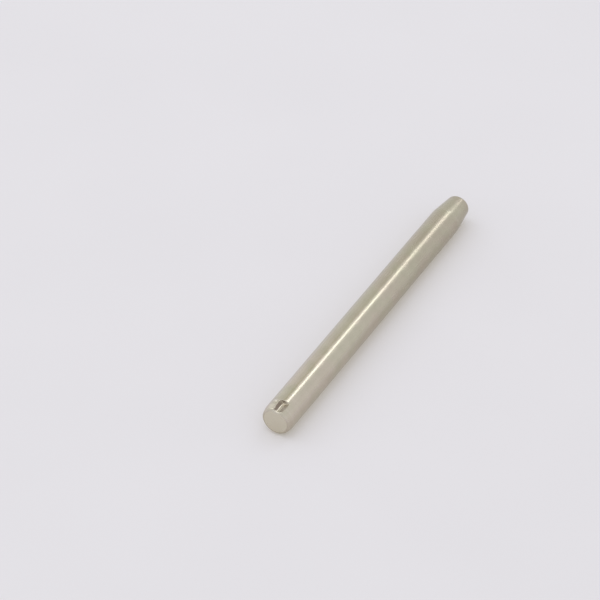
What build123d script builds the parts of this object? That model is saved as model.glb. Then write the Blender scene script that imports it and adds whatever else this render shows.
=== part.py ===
"""Straight cotter pin with one pressed notch at its driven end.

The pin lies along +X, with the centre of its driven end face at the origin and its
tapered tip at high X. +Z is up, and the notch looks up and a little towards -Y.
All sizes are in millimetres, and angles are in degrees.
"""
import os
from math import cos, radians, sin, tan

from build123d import *

# Shank
pin_diameter = 3.0
pin_length = 36.0

# Driven end: a flat face with a rounded rim, then a shallow bevel
head_rim_diameter = 2.72  # where the face and the bevel would meet in a sharp corner
head_rim_radius = 0.18
head_bevel_length = 0.64

# Lead-in taper and its blunt tip
taper_length = 3.0
tip_diameter = 2.26
tip_edge_radius = 0.3

# Notch pressed into the driven end: a flat-bottomed vee, open at the face
notch_clock = 6.0  # of the floor's middle, round the pin from straight up towards -Y
notch_length = 1.44
notch_depth = 0.345  # below the top of the shank
notch_floor_width = 0.22
notch_far_lean = 48.0  # the wall on the +Y side opens outwards by this angle
notch_near_lean = 63.0  # and the wall on the -Y side by this one
notch_root_radius = 0.08

# Lip of metal that the press pushed up beside the notch's inner end, on its +Y side
lip_offset = 29.0  # round the pin, from the notch's middle to the lip's crest
lip_middle = 1.2  # from the driven face
lip_run = 0.7
lip_rise = 0.06  # of the crest above the shank
lip_sink = 0.1  # of the lip's two ends below the shank's surface
lip_round_radius = 0.6  # across the crest

pin_radius = pin_diameter / 2
taper_start = pin_length - taper_length

# The punch that leaves the notch is taller than the lip, and starts ahead of the face
notch_floor_height = pin_radius - notch_depth
punch_height = notch_depth + lip_rise
punch_top = notch_floor_height + punch_height
punch_far_side = notch_floor_width / 2 + punch_height * tan(radians(notch_far_lean))
punch_near_side = -notch_floor_width / 2 - punch_height * tan(radians(notch_near_lean))
punch_length = notch_length + head_rim_radius

# The lip is the crest of a small barrel, whose axis lies inside the pin
lip_clock = notch_clock - lip_offset
barrel_axis_height = pin_radius + lip_rise - lip_round_radius
barrel_end_height = pin_radius - lip_sink
barrel_start = lip_middle - lip_run / 2
barrel_end = lip_middle + lip_run / 2


def radial(clock):
    """Unit vector out from the axis, at a clock angle from +Z towards -Y."""
    return Vector(0, -sin(radians(clock)), cos(radians(clock)))


def lengthwise_plane(clock):
    """Plane through the pin's axis, with its own Y direction out at the clock angle."""
    along = Vector(1, 0, 0)
    return Plane(origin=(0, 0, 0), x_dir=along, z_dir=along.cross(radial(clock)))


def cross_plane(clock, station):
    """Plane square to the axis at a station, with its own Y direction out at the clock angle."""
    along = Vector(1, 0, 0)
    return Plane(origin=along * station, x_dir=radial(clock).cross(along), z_dir=along)


with BuildPart() as punch:
    with BuildSketch(cross_plane(notch_clock, notch_length)):
        with BuildLine():
            Polyline(
                (notch_floor_width / 2, notch_floor_height),
                (-notch_floor_width / 2, notch_floor_height),
                (punch_near_side, punch_top),
                (punch_far_side, punch_top),
                close=True,
            )
        make_face()
    extrude(amount=-punch_length)
    # Round the floor's edges and the inner end's corners, but not the top or the open end
    outward = Axis((0, 0, 0), radial(notch_clock))
    inner_end = faces().sort_by(Axis.X)[-1]
    floor = faces().sort_by(outward)[0]
    fillet(floor.edges().sort_by(Axis.X)[1:] + inner_end.edges().sort_by(outward)[1:-1], notch_root_radius)

with BuildPart() as cotter_pin:
    # Turned body: half of the lengthwise section, spun about the axis
    with BuildSketch(Plane.XZ):
        with BuildLine():
            Polyline(
                (0, 0),
                (0, head_rim_diameter / 2),
                (head_bevel_length, pin_radius),
                (taper_start, pin_radius),
                (pin_length, tip_diameter / 2),
                (pin_length, 0),
                close=True,
            )
        make_face()
        fillet(vertices().group_by(Axis.X)[0].sort_by(Axis.Y)[-1], head_rim_radius)
        fillet(vertices().group_by(Axis.X)[-1].sort_by(Axis.Y)[-1], tip_edge_radius)
    revolve(axis=Axis.X)

    # Lip: only the barrel's crest stands proud of the shank
    with BuildSketch(lengthwise_plane(lip_clock)):
        with BuildLine():
            ThreePointArc(
                (barrel_start, barrel_end_height),
                (lip_middle, pin_radius + lip_rise),
                (barrel_end, barrel_end_height),
            )
            Polyline(
                (barrel_end, barrel_end_height),
                (barrel_end, barrel_axis_height),
                (barrel_start, barrel_axis_height),
                (barrel_start, barrel_end_height),
            )
        make_face()
    revolve(axis=Axis(radial(lip_clock) * barrel_axis_height, (1, 0, 0)))

    add(punch.part, mode=Mode.SUBTRACT)

cotter_pin.part.label = "cotter_pin"

os.makedirs("parts", exist_ok=True)
export_step(cotter_pin.part, "parts/cotter_pin.step")
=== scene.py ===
"""Looks for the straight cotter pin: one satin steel surface on a pale floor.

The pin lies along +X with its driven face at the origin. Lengths are in metres, except
the pin's own sizes and shape functions, which are in millimetres and end in _MM or say so.
A clock angle goes round the pin from +Z towards -Y. The near side is the -Y one, and the
far side is the +Y one.
"""
import math

import bpy
import numpy as np
from mathutils import Matrix, Vector


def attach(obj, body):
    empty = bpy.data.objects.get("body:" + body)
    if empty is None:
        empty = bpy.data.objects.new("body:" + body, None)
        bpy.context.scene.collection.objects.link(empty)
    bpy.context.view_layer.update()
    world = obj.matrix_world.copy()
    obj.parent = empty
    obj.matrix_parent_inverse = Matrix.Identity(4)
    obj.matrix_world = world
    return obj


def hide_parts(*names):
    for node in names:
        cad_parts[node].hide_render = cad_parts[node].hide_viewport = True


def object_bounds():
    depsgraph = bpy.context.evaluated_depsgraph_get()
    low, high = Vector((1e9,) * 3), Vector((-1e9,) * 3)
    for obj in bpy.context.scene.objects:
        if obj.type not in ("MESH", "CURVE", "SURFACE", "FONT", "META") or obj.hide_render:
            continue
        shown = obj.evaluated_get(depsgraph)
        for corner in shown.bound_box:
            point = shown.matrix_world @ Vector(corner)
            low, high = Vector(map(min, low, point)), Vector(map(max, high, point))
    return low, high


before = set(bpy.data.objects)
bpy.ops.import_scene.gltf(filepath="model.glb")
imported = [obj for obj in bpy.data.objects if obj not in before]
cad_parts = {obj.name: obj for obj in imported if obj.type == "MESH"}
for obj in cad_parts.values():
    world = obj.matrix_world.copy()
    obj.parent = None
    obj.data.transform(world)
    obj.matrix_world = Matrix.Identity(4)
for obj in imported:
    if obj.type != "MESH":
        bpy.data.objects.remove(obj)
cad_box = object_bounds()

# Sizes of the pin: the first two from the frame, and the rest as in the part's own source
LENGTH_MM = round(1000 * cad_box[1][0], 2)
RADIUS_MM = round(1000 * cad_box[1][2], 2)
RIM_RADIUS_MM = 1.36  # where the face and the bevel would meet in a sharp corner
RIM_ROUND_MM = 0.18
BEVEL_MM = 0.64
TAPER_MM = 3.0
TAPER_START_MM = LENGTH_MM - TAPER_MM
TIP_RADIUS_MM = 1.13
TIP_ROUND_MM = 0.3
NOTCH_CLOCK = math.radians(6)
NOTCH_END_MM = 1.44
NOTCH_DEPTH_MM = 0.345
NOTCH_FLOOR_MM = 0.22
FAR_LEAN = math.radians(48)
NEAR_LEAN = math.radians(63)
LIP_OFFSET = math.radians(29)

# Sizes of this surface alone, read from the light and dark spots round the notch
NOTCH_REACH = math.radians(50)  # nothing of the notch lies further from its middle
FLOOR_CLIMB = 0.012  # of the notch's floor towards its inner end, in mm per mm
INNER_CLIMB = 3.0  # of the inner end itself, in mm per mm
MOUTH_FLARE_MM = 0.2  # added to the floor's far side at the face
FLARE_END_MM = (0.04, 0.3)  # from where the flare starts to shrink to where it is gone
NEAR_MOUTH_ROUND_MM = 0.12  # where the floor runs down into the face
FAR_MOUTH_ROUND_MM = 0.18
LIP_RISE_MM = 0.055
LIP_WIDTH = math.radians(10)
LIP_CLIMB_MM = (0.98, 1.18)  # where along the pin the lip rises, and then where it falls
LIP_FALL_MM = (1.22, 1.46)
CAP_RINGS = 8  # of points on each flat end

# Width over which neighbouring surfaces blend into each other
BEVEL_BLEND_MM = 0.02
TAPER_BLEND_MM = 0.018
FLOOR_BLEND_MM = 0.035
INNER_BLEND_MM = 0.03
EDGE_BLEND_MM = 0.018

# Colours of the steel as red, green, blue and opacity. The casts are a dark and a light one,
# and the last two multiply the colour that they lie on.
GREEN_CAST = ((0.575, 0.545, 0.440, 1), (0.610, 0.575, 0.470, 1))
PINK_CAST = ((0.595, 0.538, 0.452, 1), (0.632, 0.572, 0.487, 1))
STREAK = (0.50, 0.46, 0.38, 1)
SPECK = (0.36, 0.32, 0.26, 1)
END_FACE = (0.675, 0.628, 0.505, 1)
# Worn edges; the same colour also paints glints on the lip and at the notch's mouth
WORN_EDGE_AND_GLINT = (0.74, 0.70, 0.62, 1)
# Dull notch walls, darkened further as painted shade in the notch
DULL_WALL_AND_SHADE = (0.30, 0.245, 0.20, 1)
# Multiplies the colour more and more towards the tip
DARKER_TOWARDS_TIP = (0.80, 0.80, 0.76, 1)
# Painted shade, multiplied into the underside of the pin
PAINTED_UNDERSIDE_SHADE = (0.885, 0.87, 0.83, 1)

# The stage
MIDDLE = Vector((LENGTH_MM / 2000, 0, 0))
FLOOR_Z = -RADIUS_MM / 1000
FLOOR_REACH = 2.0
STUDIO_WHITE = 0.8  # brightness of the world and of the card's plain parts
LIGHT_DISTANCE = 0.7
CARD_DISTANCE = 1.2
OLIVE = np.array([0.57, 0.555, 0.42])

# The camera, as fitted to the pin's outline
CAMERA_ANGLE = math.radians(12.42256)
CAMERA_PLACE = Vector((-0.1565887, -0.0906391, 0.1647420))
CAMERA_RIGHT = Vector((0.4904108, -0.8714914, -0.0001161))
CAMERA_AHEAD = Vector((0.6696264, 0.3769014, -0.6399577))


# Shape of the pin

def smooth_max(a, b, k):
    """The larger of two arrays, blended over a band about k wide where they cross."""
    return 0.5 * (a + b + np.sqrt((a - b) ** 2 + k * k))


def smooth_min(a, b, k):
    """The smaller of two arrays, blended over a band about k wide where they cross."""
    return 0.5 * (a + b - np.sqrt((a - b) ** 2 + k * k))


def step(x, low, high):
    """0 below low, 1 above high, and a smooth S between them."""
    t = np.clip((x - low) / (high - low), 0, 1)
    return t * t * (3 - 2 * t)


def bell(x, middle, width):
    """1 at the middle, and falling away to both sides over about the width."""
    return np.exp(-((x - middle) / width) ** 2)


def quarter_round(distance, size):
    """Drop of a quarter round of a given size, at a distance in from the end that it rounds."""
    left = np.clip(1 - distance / size, 0, 1)
    return size * (1 - np.sqrt(1 - left ** 2))


def turned_radius(x):
    """Radius of the turned body at each station x, in mm.

    The least of three straight lines, for the bevel, the shank and the taper, with
    soft corners, and then a quarter round at the rim and at the tip's edge.
    """
    bevel = RIM_RADIUS_MM + (RADIUS_MM - RIM_RADIUS_MM) * x / BEVEL_MM
    taper = TIP_RADIUS_MM + (RADIUS_MM - TIP_RADIUS_MM) * (LENGTH_MM - x) / TAPER_MM
    bevelled = smooth_min(np.full_like(x, RADIUS_MM), bevel, BEVEL_BLEND_MM)
    tapered = smooth_min(bevelled, taper, TAPER_BLEND_MM)
    return tapered - quarter_round(x, RIM_ROUND_MM) - quarter_round(LENGTH_MM - x, TIP_ROUND_MM)


def lip_height(x, d):
    """Rise of the lip that the press pushed up, in mm, at station x and angle d from the notch.

    A bell across, centred outside the notch's far edge, times a quick rise along the pin
    and a quick fall past the notch's inner end.
    """
    along = step(x, *LIP_CLIMB_MM) * (1 - step(x, *LIP_FALL_MM))
    return LIP_RISE_MM * bell(d, -LIP_OFFSET, LIP_WIDTH) * along


def notch_radii(x, d):
    """Radii, in mm, at which a ray from the axis meets the notch's floor, walls and inner end.

    Each is a flat surface: its height above the axis, over the cosine of the angle d from
    the notch's middle. The floor runs down in a small round where it meets the face, and
    flares there to the far side. The inner end climbs to the shank's surface at NOTCH_END_MM.
    """
    to_far_side = step(-d, math.radians(-4), math.radians(6))
    mouth_round = NEAR_MOUTH_ROUND_MM + (FAR_MOUTH_ROUND_MM - NEAR_MOUTH_ROUND_MM) * to_far_side
    floor = RADIUS_MM - NOTCH_DEPTH_MM + FLOOR_CLIMB * x - quarter_round(x, mouth_round)
    flare = np.where(d < 0, MOUTH_FLARE_MM, 0) * (1 - step(x, *FLARE_END_MM))
    lean = np.where(d < 0, math.tan(FAR_LEAN), math.tan(NEAR_LEAN))
    wall_foot = floor - (NOTCH_FLOOR_MM / 2 + flare) / lean
    wall = wall_foot / np.maximum(np.cos(d) - np.sin(np.abs(d)) / lean, 0.15)
    inner = floor + NOTCH_DEPTH_MM + INNER_CLIMB * (x - NOTCH_END_MM)
    slant = np.maximum(np.cos(d), 0.3)
    return floor / slant, wall, inner / slant


def dull_and_shaded_walls(x, d, floor, wall, inner):
    """How dull the notch's walls are, and how dark with painted shade: the far one most, and less towards
    both of their ends.
    """
    side = step(wall - floor, 0.0, 0.05) * np.where(d < 0, 1.0, 0.5)
    before_end = (1 - step(inner - wall, -0.02, 0.04)) * (1 - 0.6 * step(x, 1.05, 1.3))
    return side * step(x, 0.08, 0.22) * before_end


def turned_ends(x):
    """1 on the bevel and on the taper, and 0 on the shank."""
    bevel = 1 - step(x, BEVEL_MM - 0.08, BEVEL_MM + 0.02)
    taper = step(x, TAPER_START_MM - 0.05, TAPER_START_MM + 0.1)
    return np.maximum(bevel, taper)


def worn_edges_and_glints(x, d, notch_edge, inside):
    """How bright each edge is: wear on the notch, bevel, taper and rim, and painted glints on the lip and at
    the notch's mouth. The greatest of these.
    """
    notch = notch_edge * np.where(d < 0, 1.0, 0.2)
    # Painted glint on the lip
    lip = 3 * lip_height(x, d) / LIP_RISE_MM
    bevel = 0.6 * bell(x, BEVEL_MM, 0.07)
    taper = 0.7 * bell(x, TAPER_START_MM, 0.12)
    # Wear on the rim, and a painted glint where it meets the notch's mouth
    rim = bell(x, 0.08, 0.07) * np.where(inside > 0.3, 2.0, 0.7)
    return np.maximum.reduce([notch, lip, bevel, taper, rim])


def pin_shape(x, clock):
    """Radius in mm, and the masks for dull walls with painted shade, turned ends, worn edges with painted
    glints, and end faces.

    The radius is the lesser of the turned body with its lip and of the notch, which is
    the greatest of its floor, walls and inner end. The end faces are marked in make_pin.
    """
    d = (clock - NOTCH_CLOCK + math.pi) % (2 * math.pi) - math.pi
    outer = turned_radius(x) + lip_height(x, d)
    floor, wall, inner = notch_radii(x, d)
    cut = smooth_max(smooth_max(floor, wall, FLOOR_BLEND_MM), inner, INNER_BLEND_MM)
    at_notch = np.abs(d) < NOTCH_REACH
    radius = np.where(at_notch, smooth_min(outer, cut, EDGE_BLEND_MM), outer)
    inside = at_notch * step(outer - cut, np.where(d < 0, -0.005, -0.06), np.where(d < 0, 0.03, -0.01))
    masks = {
        "dull_and_shade": inside * dull_and_shaded_walls(x, d, floor, wall, inner),
        "turned": turned_ends(x) * (1 - inside),
        "wear_and_glint": worn_edges_and_glints(x, d, at_notch * bell(outer, cut, 0.03), inside),
        "end_face": np.zeros_like(x)}
    return radius, masks


def pin_stations():
    """Stations of the rings in mm, close together at the rim, the notch, the taper and the tip."""
    quarter = np.linspace(0, math.pi / 2, 14)
    return np.concatenate([
        RIM_ROUND_MM * (1 - np.cos(quarter)),
        np.arange(0.2, 1.285, 0.02),
        np.arange(1.29, 1.525, 0.01),
        np.arange(1.54, 1.9, 0.04),
        np.linspace(2.0, TAPER_START_MM - 0.3, 20),
        np.linspace(TAPER_START_MM - 0.2, TAPER_START_MM + 0.2, 15),
        np.linspace(TAPER_START_MM + 0.4, LENGTH_MM - TIP_ROUND_MM - 0.05, 12),
        LENGTH_MM - TIP_ROUND_MM * (1 - np.cos(quarter[::-1]))])


def grid_quads(rows, cols, closed):
    """Faces between the rows of a grid of points, with the last column joined to the first if closed."""
    row = np.arange(rows - 1)[:, None] * cols
    here = np.arange(cols if closed else cols - 1)
    after = (here + 1) % cols
    quads = np.stack([row + here, row + after, row + cols + after, row + cols + here], axis=-1)
    return quads.reshape(-1, 4).tolist()


def make_pin():
    """Closed surface: rings of points at each station, each ring at the radius of pin_shape.

    The two flat ends are rings that shrink to one middle point. The points are finer
    round the notch than on the rest of each ring.
    """
    fine = np.radians(np.arange(-60, 60, 0.5))
    coarse = np.radians(np.arange(60, 300, 1.5))
    clock = NOTCH_CLOCK + np.concatenate([fine, coarse])
    grid_x, grid_clock = np.meshgrid(pin_stations(), clock, indexing="ij")
    radius, masks = pin_shape(grid_x, grid_clock)

    caps = ((CAP_RINGS, CAP_RINGS), (0, 0))
    shrink = np.linspace(0.12, 0.97, CAP_RINGS)[:, None]
    radius = np.concatenate([shrink * radius[:1], radius, shrink[::-1] * radius[-1:]])
    grid_x = np.pad(grid_x, caps, mode="edge")
    grid_clock = np.pad(grid_clock, caps, mode="edge")
    masks = {name: np.pad(value, caps) for name, value in masks.items()}
    masks["end_face"][:CAP_RINGS] = 1
    masks["end_face"][-CAP_RINGS:] = 1

    rings = np.stack([grid_x, -radius * np.sin(grid_clock), radius * np.cos(grid_clock)], axis=-1)
    points = np.concatenate([rings.reshape(-1, 3), [[0, 0, 0], [LENGTH_MM, 0, 0]]]) / 1000
    rows, cols = radius.shape
    near_middle = np.full(cols, rows * cols)
    first = np.arange(cols)
    second = (first + 1) % cols
    last_row = (rows - 1) * cols
    near_fan = np.stack([near_middle, second, first], axis=-1)
    far_fan = np.stack([near_middle + 1, last_row + first, last_row + second], axis=-1)

    mesh = bpy.data.meshes.new("steel_pin")
    faces = grid_quads(rows, cols, closed=True) + near_fan.tolist() + far_fan.tolist()
    mesh.from_pydata(points.tolist(), [], faces)
    mesh.polygons.foreach_set("use_smooth", np.ones(len(mesh.polygons), bool))
    for name, value in masks.items():
        middles = np.full(2, float(name == "end_face"))
        values = np.append(value.ravel(), middles).astype(np.float32)
        mesh.attributes.new(name, "FLOAT", "POINT").data.foreach_set("value", values)
    mesh.update()
    piece = bpy.data.objects.new("steel_pin", mesh)
    bpy.context.scene.collection.objects.link(piece)
    return piece


# Materials

class Nodes:
    """Short calls for making one material's nodes."""

    def __init__(self, name):
        self.material = bpy.data.materials.new(name)
        self.material.use_nodes = True
        self.nodes = self.material.node_tree.nodes
        self.shader = self.nodes["Principled BSDF"]
        self.place = self.add("ShaderNodeTexCoord").outputs["Object"]

    def add(self, kind):
        """A new node of a given kind."""
        return self.nodes.new(kind)

    def put(self, value, socket):
        """Links an output to a socket, or sets the socket to a plain value."""
        if isinstance(value, bpy.types.NodeSocket):
            self.material.node_tree.links.new(value, socket)
        else:
            socket.default_value = value

    def noise(self, scale, detail):
        """Noise of the object's own coordinates, with a separate scale per metre along each axis."""
        stretch = self.add("ShaderNodeMapping")
        stretch.inputs["Scale"].default_value = scale
        self.put(self.place, stretch.inputs["Vector"])
        noise = self.add("ShaderNodeTexNoise")
        noise.inputs["Scale"].default_value = 1.0
        noise.inputs["Detail"].default_value = detail
        noise.inputs["Roughness"].default_value = 0.5
        self.put(stretch.outputs["Vector"], noise.inputs["Vector"])
        return noise.outputs["Fac"]

    def along(self, axis):
        """Object coordinate along one axis, in metres."""
        split = self.add("ShaderNodeSeparateXYZ")
        self.put(self.place, split.inputs[0])
        return split.outputs[axis]

    def spread(self, value, low, high, to_low, to_high):
        """Maps low..high to to_low..to_high, held at the ends."""
        node = self.add("ShaderNodeMapRange")
        self.put(value, node.inputs["Value"])
        for socket, number in zip(("From Min", "From Max", "To Min", "To Max"), (low, high, to_low, to_high)):
            node.inputs[socket].default_value = number
        return node.outputs["Result"]

    def math(self, how, a, b):
        """Two values worked into one."""
        node = self.add("ShaderNodeMath")
        node.operation = how
        self.put(a, node.inputs[0])
        self.put(b, node.inputs[1])
        return node.outputs[0]

    def mix(self, amount, a, b, how="MIX"):
        """Colour a, with colour b over it by amount."""
        node = self.add("ShaderNodeMix")
        node.data_type = "RGBA"
        node.blend_type = how
        self.put(amount, node.inputs["Factor"])
        self.put(a, node.inputs[6])
        self.put(b, node.inputs[7])
        return node.outputs[2]

    def mask(self, name):
        """One of the masks that pin_shape works out."""
        node = self.add("ShaderNodeAttribute")
        node.attribute_name = name
        return node.outputs["Fac"]

    def bump(self, height, strength, distance):
        """Gives the surface a fine relief, as high as the distance where the height is 1."""
        node = self.add("ShaderNodeBump")
        node.inputs["Strength"].default_value = strength
        node.inputs["Distance"].default_value = distance
        self.put(height, node.inputs["Height"])
        self.put(node.outputs["Normal"], self.shader.inputs["Normal"])


def steel():
    """Satin drawn steel, a little warm.

    Fine lines run along the shank, rings run round the bevel and the taper, and straight
    marks cross the end faces. Soft stains vary the colour and the gloss. Edges are worn
    brighter, and painted glints brighten the lip and the notch's mouth. The notch's walls
    are dull and darkened with painted shade. The colour grows darker and the gloss less
    towards the tip, and painted shade darkens the underside.
    """
    m = Nodes("drawn_steel")
    dull_and_shade, turned, wear_and_glint, end_face = (m.mask(name) for name in ("dull_and_shade", "turned", "wear_and_glint", "end_face"))
    stain = m.noise((850, 850, 850), 4.0)
    cast = m.noise((420, 500, 500), 2.0)
    streak = m.noise((70, 5200, 5200), 3.0)
    specks = m.noise((7000, 7000, 7000), 2.0)

    paleness = m.spread(stain, 0.35, 0.65, 0, 1)
    green, pink = m.mix(paleness, *GREEN_CAST), m.mix(paleness, *PINK_CAST)
    colour = m.mix(m.spread(cast, 0.4, 0.6, 0, 1), green, pink)
    colour = m.mix(m.spread(streak, 0.3, 0.7, 0.0, 0.12), colour, STREAK)
    colour = m.mix(m.spread(specks, 0.66, 0.74, 0.0, 0.22), colour, SPECK)
    colour = m.mix(m.math("MULTIPLY", end_face, 0.9), colour, END_FACE)
    # Worn edges, and painted glints on the lip and at the notch's mouth
    uneven_wear_and_glint = m.math("MULTIPLY", wear_and_glint, m.spread(stain, 0.3, 0.7, 0.1, 0.5))
    colour = m.mix(uneven_wear_and_glint, colour, WORN_EDGE_AND_GLINT)
    # Painted shade on the notch's dull walls
    colour = m.mix(dull_and_shade, colour, DULL_WALL_AND_SHADE)
    # Darker towards the tip, with less gloss there
    towards_tip = m.spread(m.along("X"), 0.006, 0.026, 0.0, 0.7)
    uneven_towards_tip = m.math("MULTIPLY", towards_tip, m.spread(cast, 0.3, 0.7, 0.8, 1.2))
    colour = m.mix(uneven_towards_tip, colour, DARKER_TOWARDS_TIP, "MULTIPLY")
    # Painted shade over the lower part of the pin, fullest below 0.3 mm, but not on the end faces
    low_down = m.spread(m.along("Z"), 0.0009, 0.0003, 0.0, 1.0)
    painted_underside_shade = m.math("MULTIPLY", low_down, m.math("SUBTRACT", 1.0, end_face))
    colour = m.mix(painted_underside_shade, colour, PAINTED_UNDERSIDE_SHADE, "MULTIPLY")
    m.put(colour, m.shader.inputs["Base Color"])

    rough = m.math("ADD", m.spread(stain, 0.3, 0.7, 0.17, 0.23), m.spread(streak, 0.3, 0.7, -0.02, 0.03))
    for mask, more in ((towards_tip, 0.08), (end_face, 0.10), (turned, 0.03), (dull_and_shade, 0.18)):
        rough = m.math("ADD", rough, m.math("MULTIPLY", mask, more))
    m.put(rough, m.shader.inputs["Roughness"])
    m.put(1.0, m.shader.inputs["Metallic"])

    lines = m.noise((350, 24000, 24000), 2.0)
    rings = m.noise((30000, 260, 260), 2.0)
    marks = m.noise((100, 21000, 700), 2.0)
    plain = m.math("SUBTRACT", 1.0, m.math("MAXIMUM", turned, end_face))
    height = m.math("MULTIPLY", lines, plain)
    height = m.math("ADD", height, m.math("MULTIPLY", rings, turned))
    height = m.math("ADD", height, m.math("MULTIPLY", m.math("MULTIPLY", marks, end_face), 1.6))
    m.bump(height, strength=0.5, distance=0.000003)
    return m.material


def paper():
    """Plain pale floor with a faint cloudiness and a fine tooth.

    Some of its brightness is its own glow, as of a sheet on a light table, so that the
    pin's shadow stays soft and warm where the pin touches it.
    """
    m = Nodes("pale_paper")
    cloud = m.noise((60, 60, 60), 2.0)
    colour = m.mix(m.spread(cloud, 0.3, 0.7, 0, 1), (0.567, 0.578, 0.672, 1), (0.579, 0.590, 0.684, 1))
    m.put(colour, m.shader.inputs["Base Color"])
    m.put(m.spread(cloud, 0.3, 0.7, 0.85, 0.95), m.shader.inputs["Roughness"])
    m.put(0.1, m.shader.inputs["Specular IOR Level"])
    m.put((0.235, 0.210, 0.156, 1), m.shader.inputs["Emission Color"])
    m.put(1.0, m.shader.inputs["Emission Strength"])
    m.bump(m.noise((3000, 3000, 3000), 3.0), strength=0.2, distance=0.00001)
    return m.material


def card_glow():
    """The card's own colour, read from its corners, whatever light falls on it."""
    material = bpy.data.materials.new("olive_card")
    material.use_nodes = True
    tree = material.node_tree
    tree.nodes.remove(tree.nodes["Principled BSDF"])
    tint = tree.nodes.new("ShaderNodeAttribute")
    tint.attribute_name = "tint"
    light = tree.nodes.new("ShaderNodeEmission")
    tree.links.new(tint.outputs["Color"], light.inputs["Color"])
    tree.links.new(light.outputs[0], tree.nodes["Material Output"].inputs["Surface"])
    return material


# Floor, lights and camera

def stage_piece(name, points, faces, material):
    """A surface that stands on the stage, not part of the pin."""
    mesh = bpy.data.meshes.new(name)
    mesh.from_pydata(points, [], faces)
    mesh.materials.append(material)
    piece = bpy.data.objects.new(name, mesh)
    bpy.context.scene.collection.objects.link(piece)
    return piece


def stand(name, data, at, right, back):
    """A light or a camera at a point, with its width along right, looking away from back."""
    piece = bpy.data.objects.new(name, data)
    bpy.context.scene.collection.objects.link(piece)
    turn = Matrix((right, back.cross(right), back)).transposed().to_4x4()
    piece.matrix_world = Matrix.Translation(at) @ turn
    return piece


def soft_light(name, toward, across, width, height, radiance, colour=(1, 1, 1)):
    """Rectangular light out from the pin's middle, facing it. across gives the direction of its width."""
    back = Vector(toward).normalized()
    side = Vector(across)
    side = (side - back * side.dot(back)).normalized()
    lamp = bpy.data.lights.new(name, "AREA")
    lamp.shape = "RECTANGLE"
    lamp.size = width
    lamp.size_y = height
    lamp.energy = radiance * math.pi * width * height
    lamp.color = colour
    stand(name, lamp, MIDDLE + back * LIGHT_DISTANCE, side, back)


def ring_direction(x, clock):
    """Unit vector with a given part along X, at a clock angle round X in degrees."""
    across = math.sqrt(1 - x * x)
    return Vector((x, -across * math.sin(math.radians(clock)), across * math.cos(math.radians(clock))))


def lay_floor():
    """Square sheet under the pin."""
    signs = ((-1, -1), (1, -1), (1, 1), (-1, 1))
    corners = [(FLOOR_REACH * x, FLOOR_REACH * y, FLOOR_Z) for x, y in signs]
    stage_piece("floor", corners, [(0, 1, 2, 3)], paper())


def hang_card():
    """A curved card beside the strip, olive near the strip and white at its far edge.

    It is seen only in the steel. Its rows go out along X, and each holds the depth of
    olive at each clock angle.
    """
    clocks = (-12, -16, -21, -29, -38, -48, -62, -80)
    deep = (0, 1, 0.85, 0.45, 0.3, 0.25, 0.15, 0)
    faint = (0, 0.25, 0.3, 0.25, 0.2, 0.15, 0.1, 0)
    rows = ((0.50, deep), (0.655, deep), (0.675, faint), (0.90, faint))
    points = [MIDDLE + CARD_DISTANCE * ring_direction(x, clock) for x, _ in rows for clock in clocks]
    card = stage_piece("card", points, grid_quads(len(rows), len(clocks), closed=False), card_glow())
    depth = np.array([row for _, row in rows], float).reshape(-1, 1)
    tints = STUDIO_WHITE * (1 - depth) + OLIVE * depth
    tint = card.data.attributes.new("tint", "FLOAT_COLOR", "POINT")
    tint.data.foreach_set("color", np.hstack([tints, np.ones_like(depth)]).ravel().astype(np.float32))
    card.visible_camera = False
    card.visible_diffuse = False
    card.visible_shadow = False


def fill_world():
    """Even white all round."""
    world = bpy.data.worlds.new("studio")
    world.use_nodes = True
    background = world.node_tree.nodes["Background"]
    background.inputs["Color"].default_value = (1, 1, 1, 1)
    background.inputs["Strength"].default_value = STUDIO_WHITE
    bpy.context.scene.world = world


def set_camera():
    """The camera that sees the pin as the photo does."""
    lens = bpy.data.cameras.new("camera")
    lens.sensor_fit = "HORIZONTAL"
    lens.angle = CAMERA_ANGLE
    lens.clip_start = 0.01
    lens.clip_end = 20
    camera = stand("camera", lens, CAMERA_PLACE, CAMERA_RIGHT.normalized(), -CAMERA_AHEAD.normalized())
    bpy.context.scene.camera = camera
    bpy.context.scene.view_settings.view_transform = "Standard"


pin = make_pin()
pin.data.materials.append(steel())
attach(pin, "root")
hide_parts("cotter_pin")

lay_floor()
fill_world()
# The strip is turned so that its reflection runs straight along the shank
soft_light("strip", (0.670, -0.064, 0.740), (0.380, 0.893, -0.242), width=0.072, height=0.5, radiance=2.3)
soft_light("overhead", (0.0, 0.50, 0.86), (1, 0, 0), width=0.28, height=0.85, radiance=0.85)
soft_light("side", (0.42, 0.85, 0.28), (1, 0, 0), width=0.25, height=0.45, radiance=0.2,
           colour=(0.9, 0.95, 1.0))
hang_card()
set_camera()

bpy.context.view_layer.update()
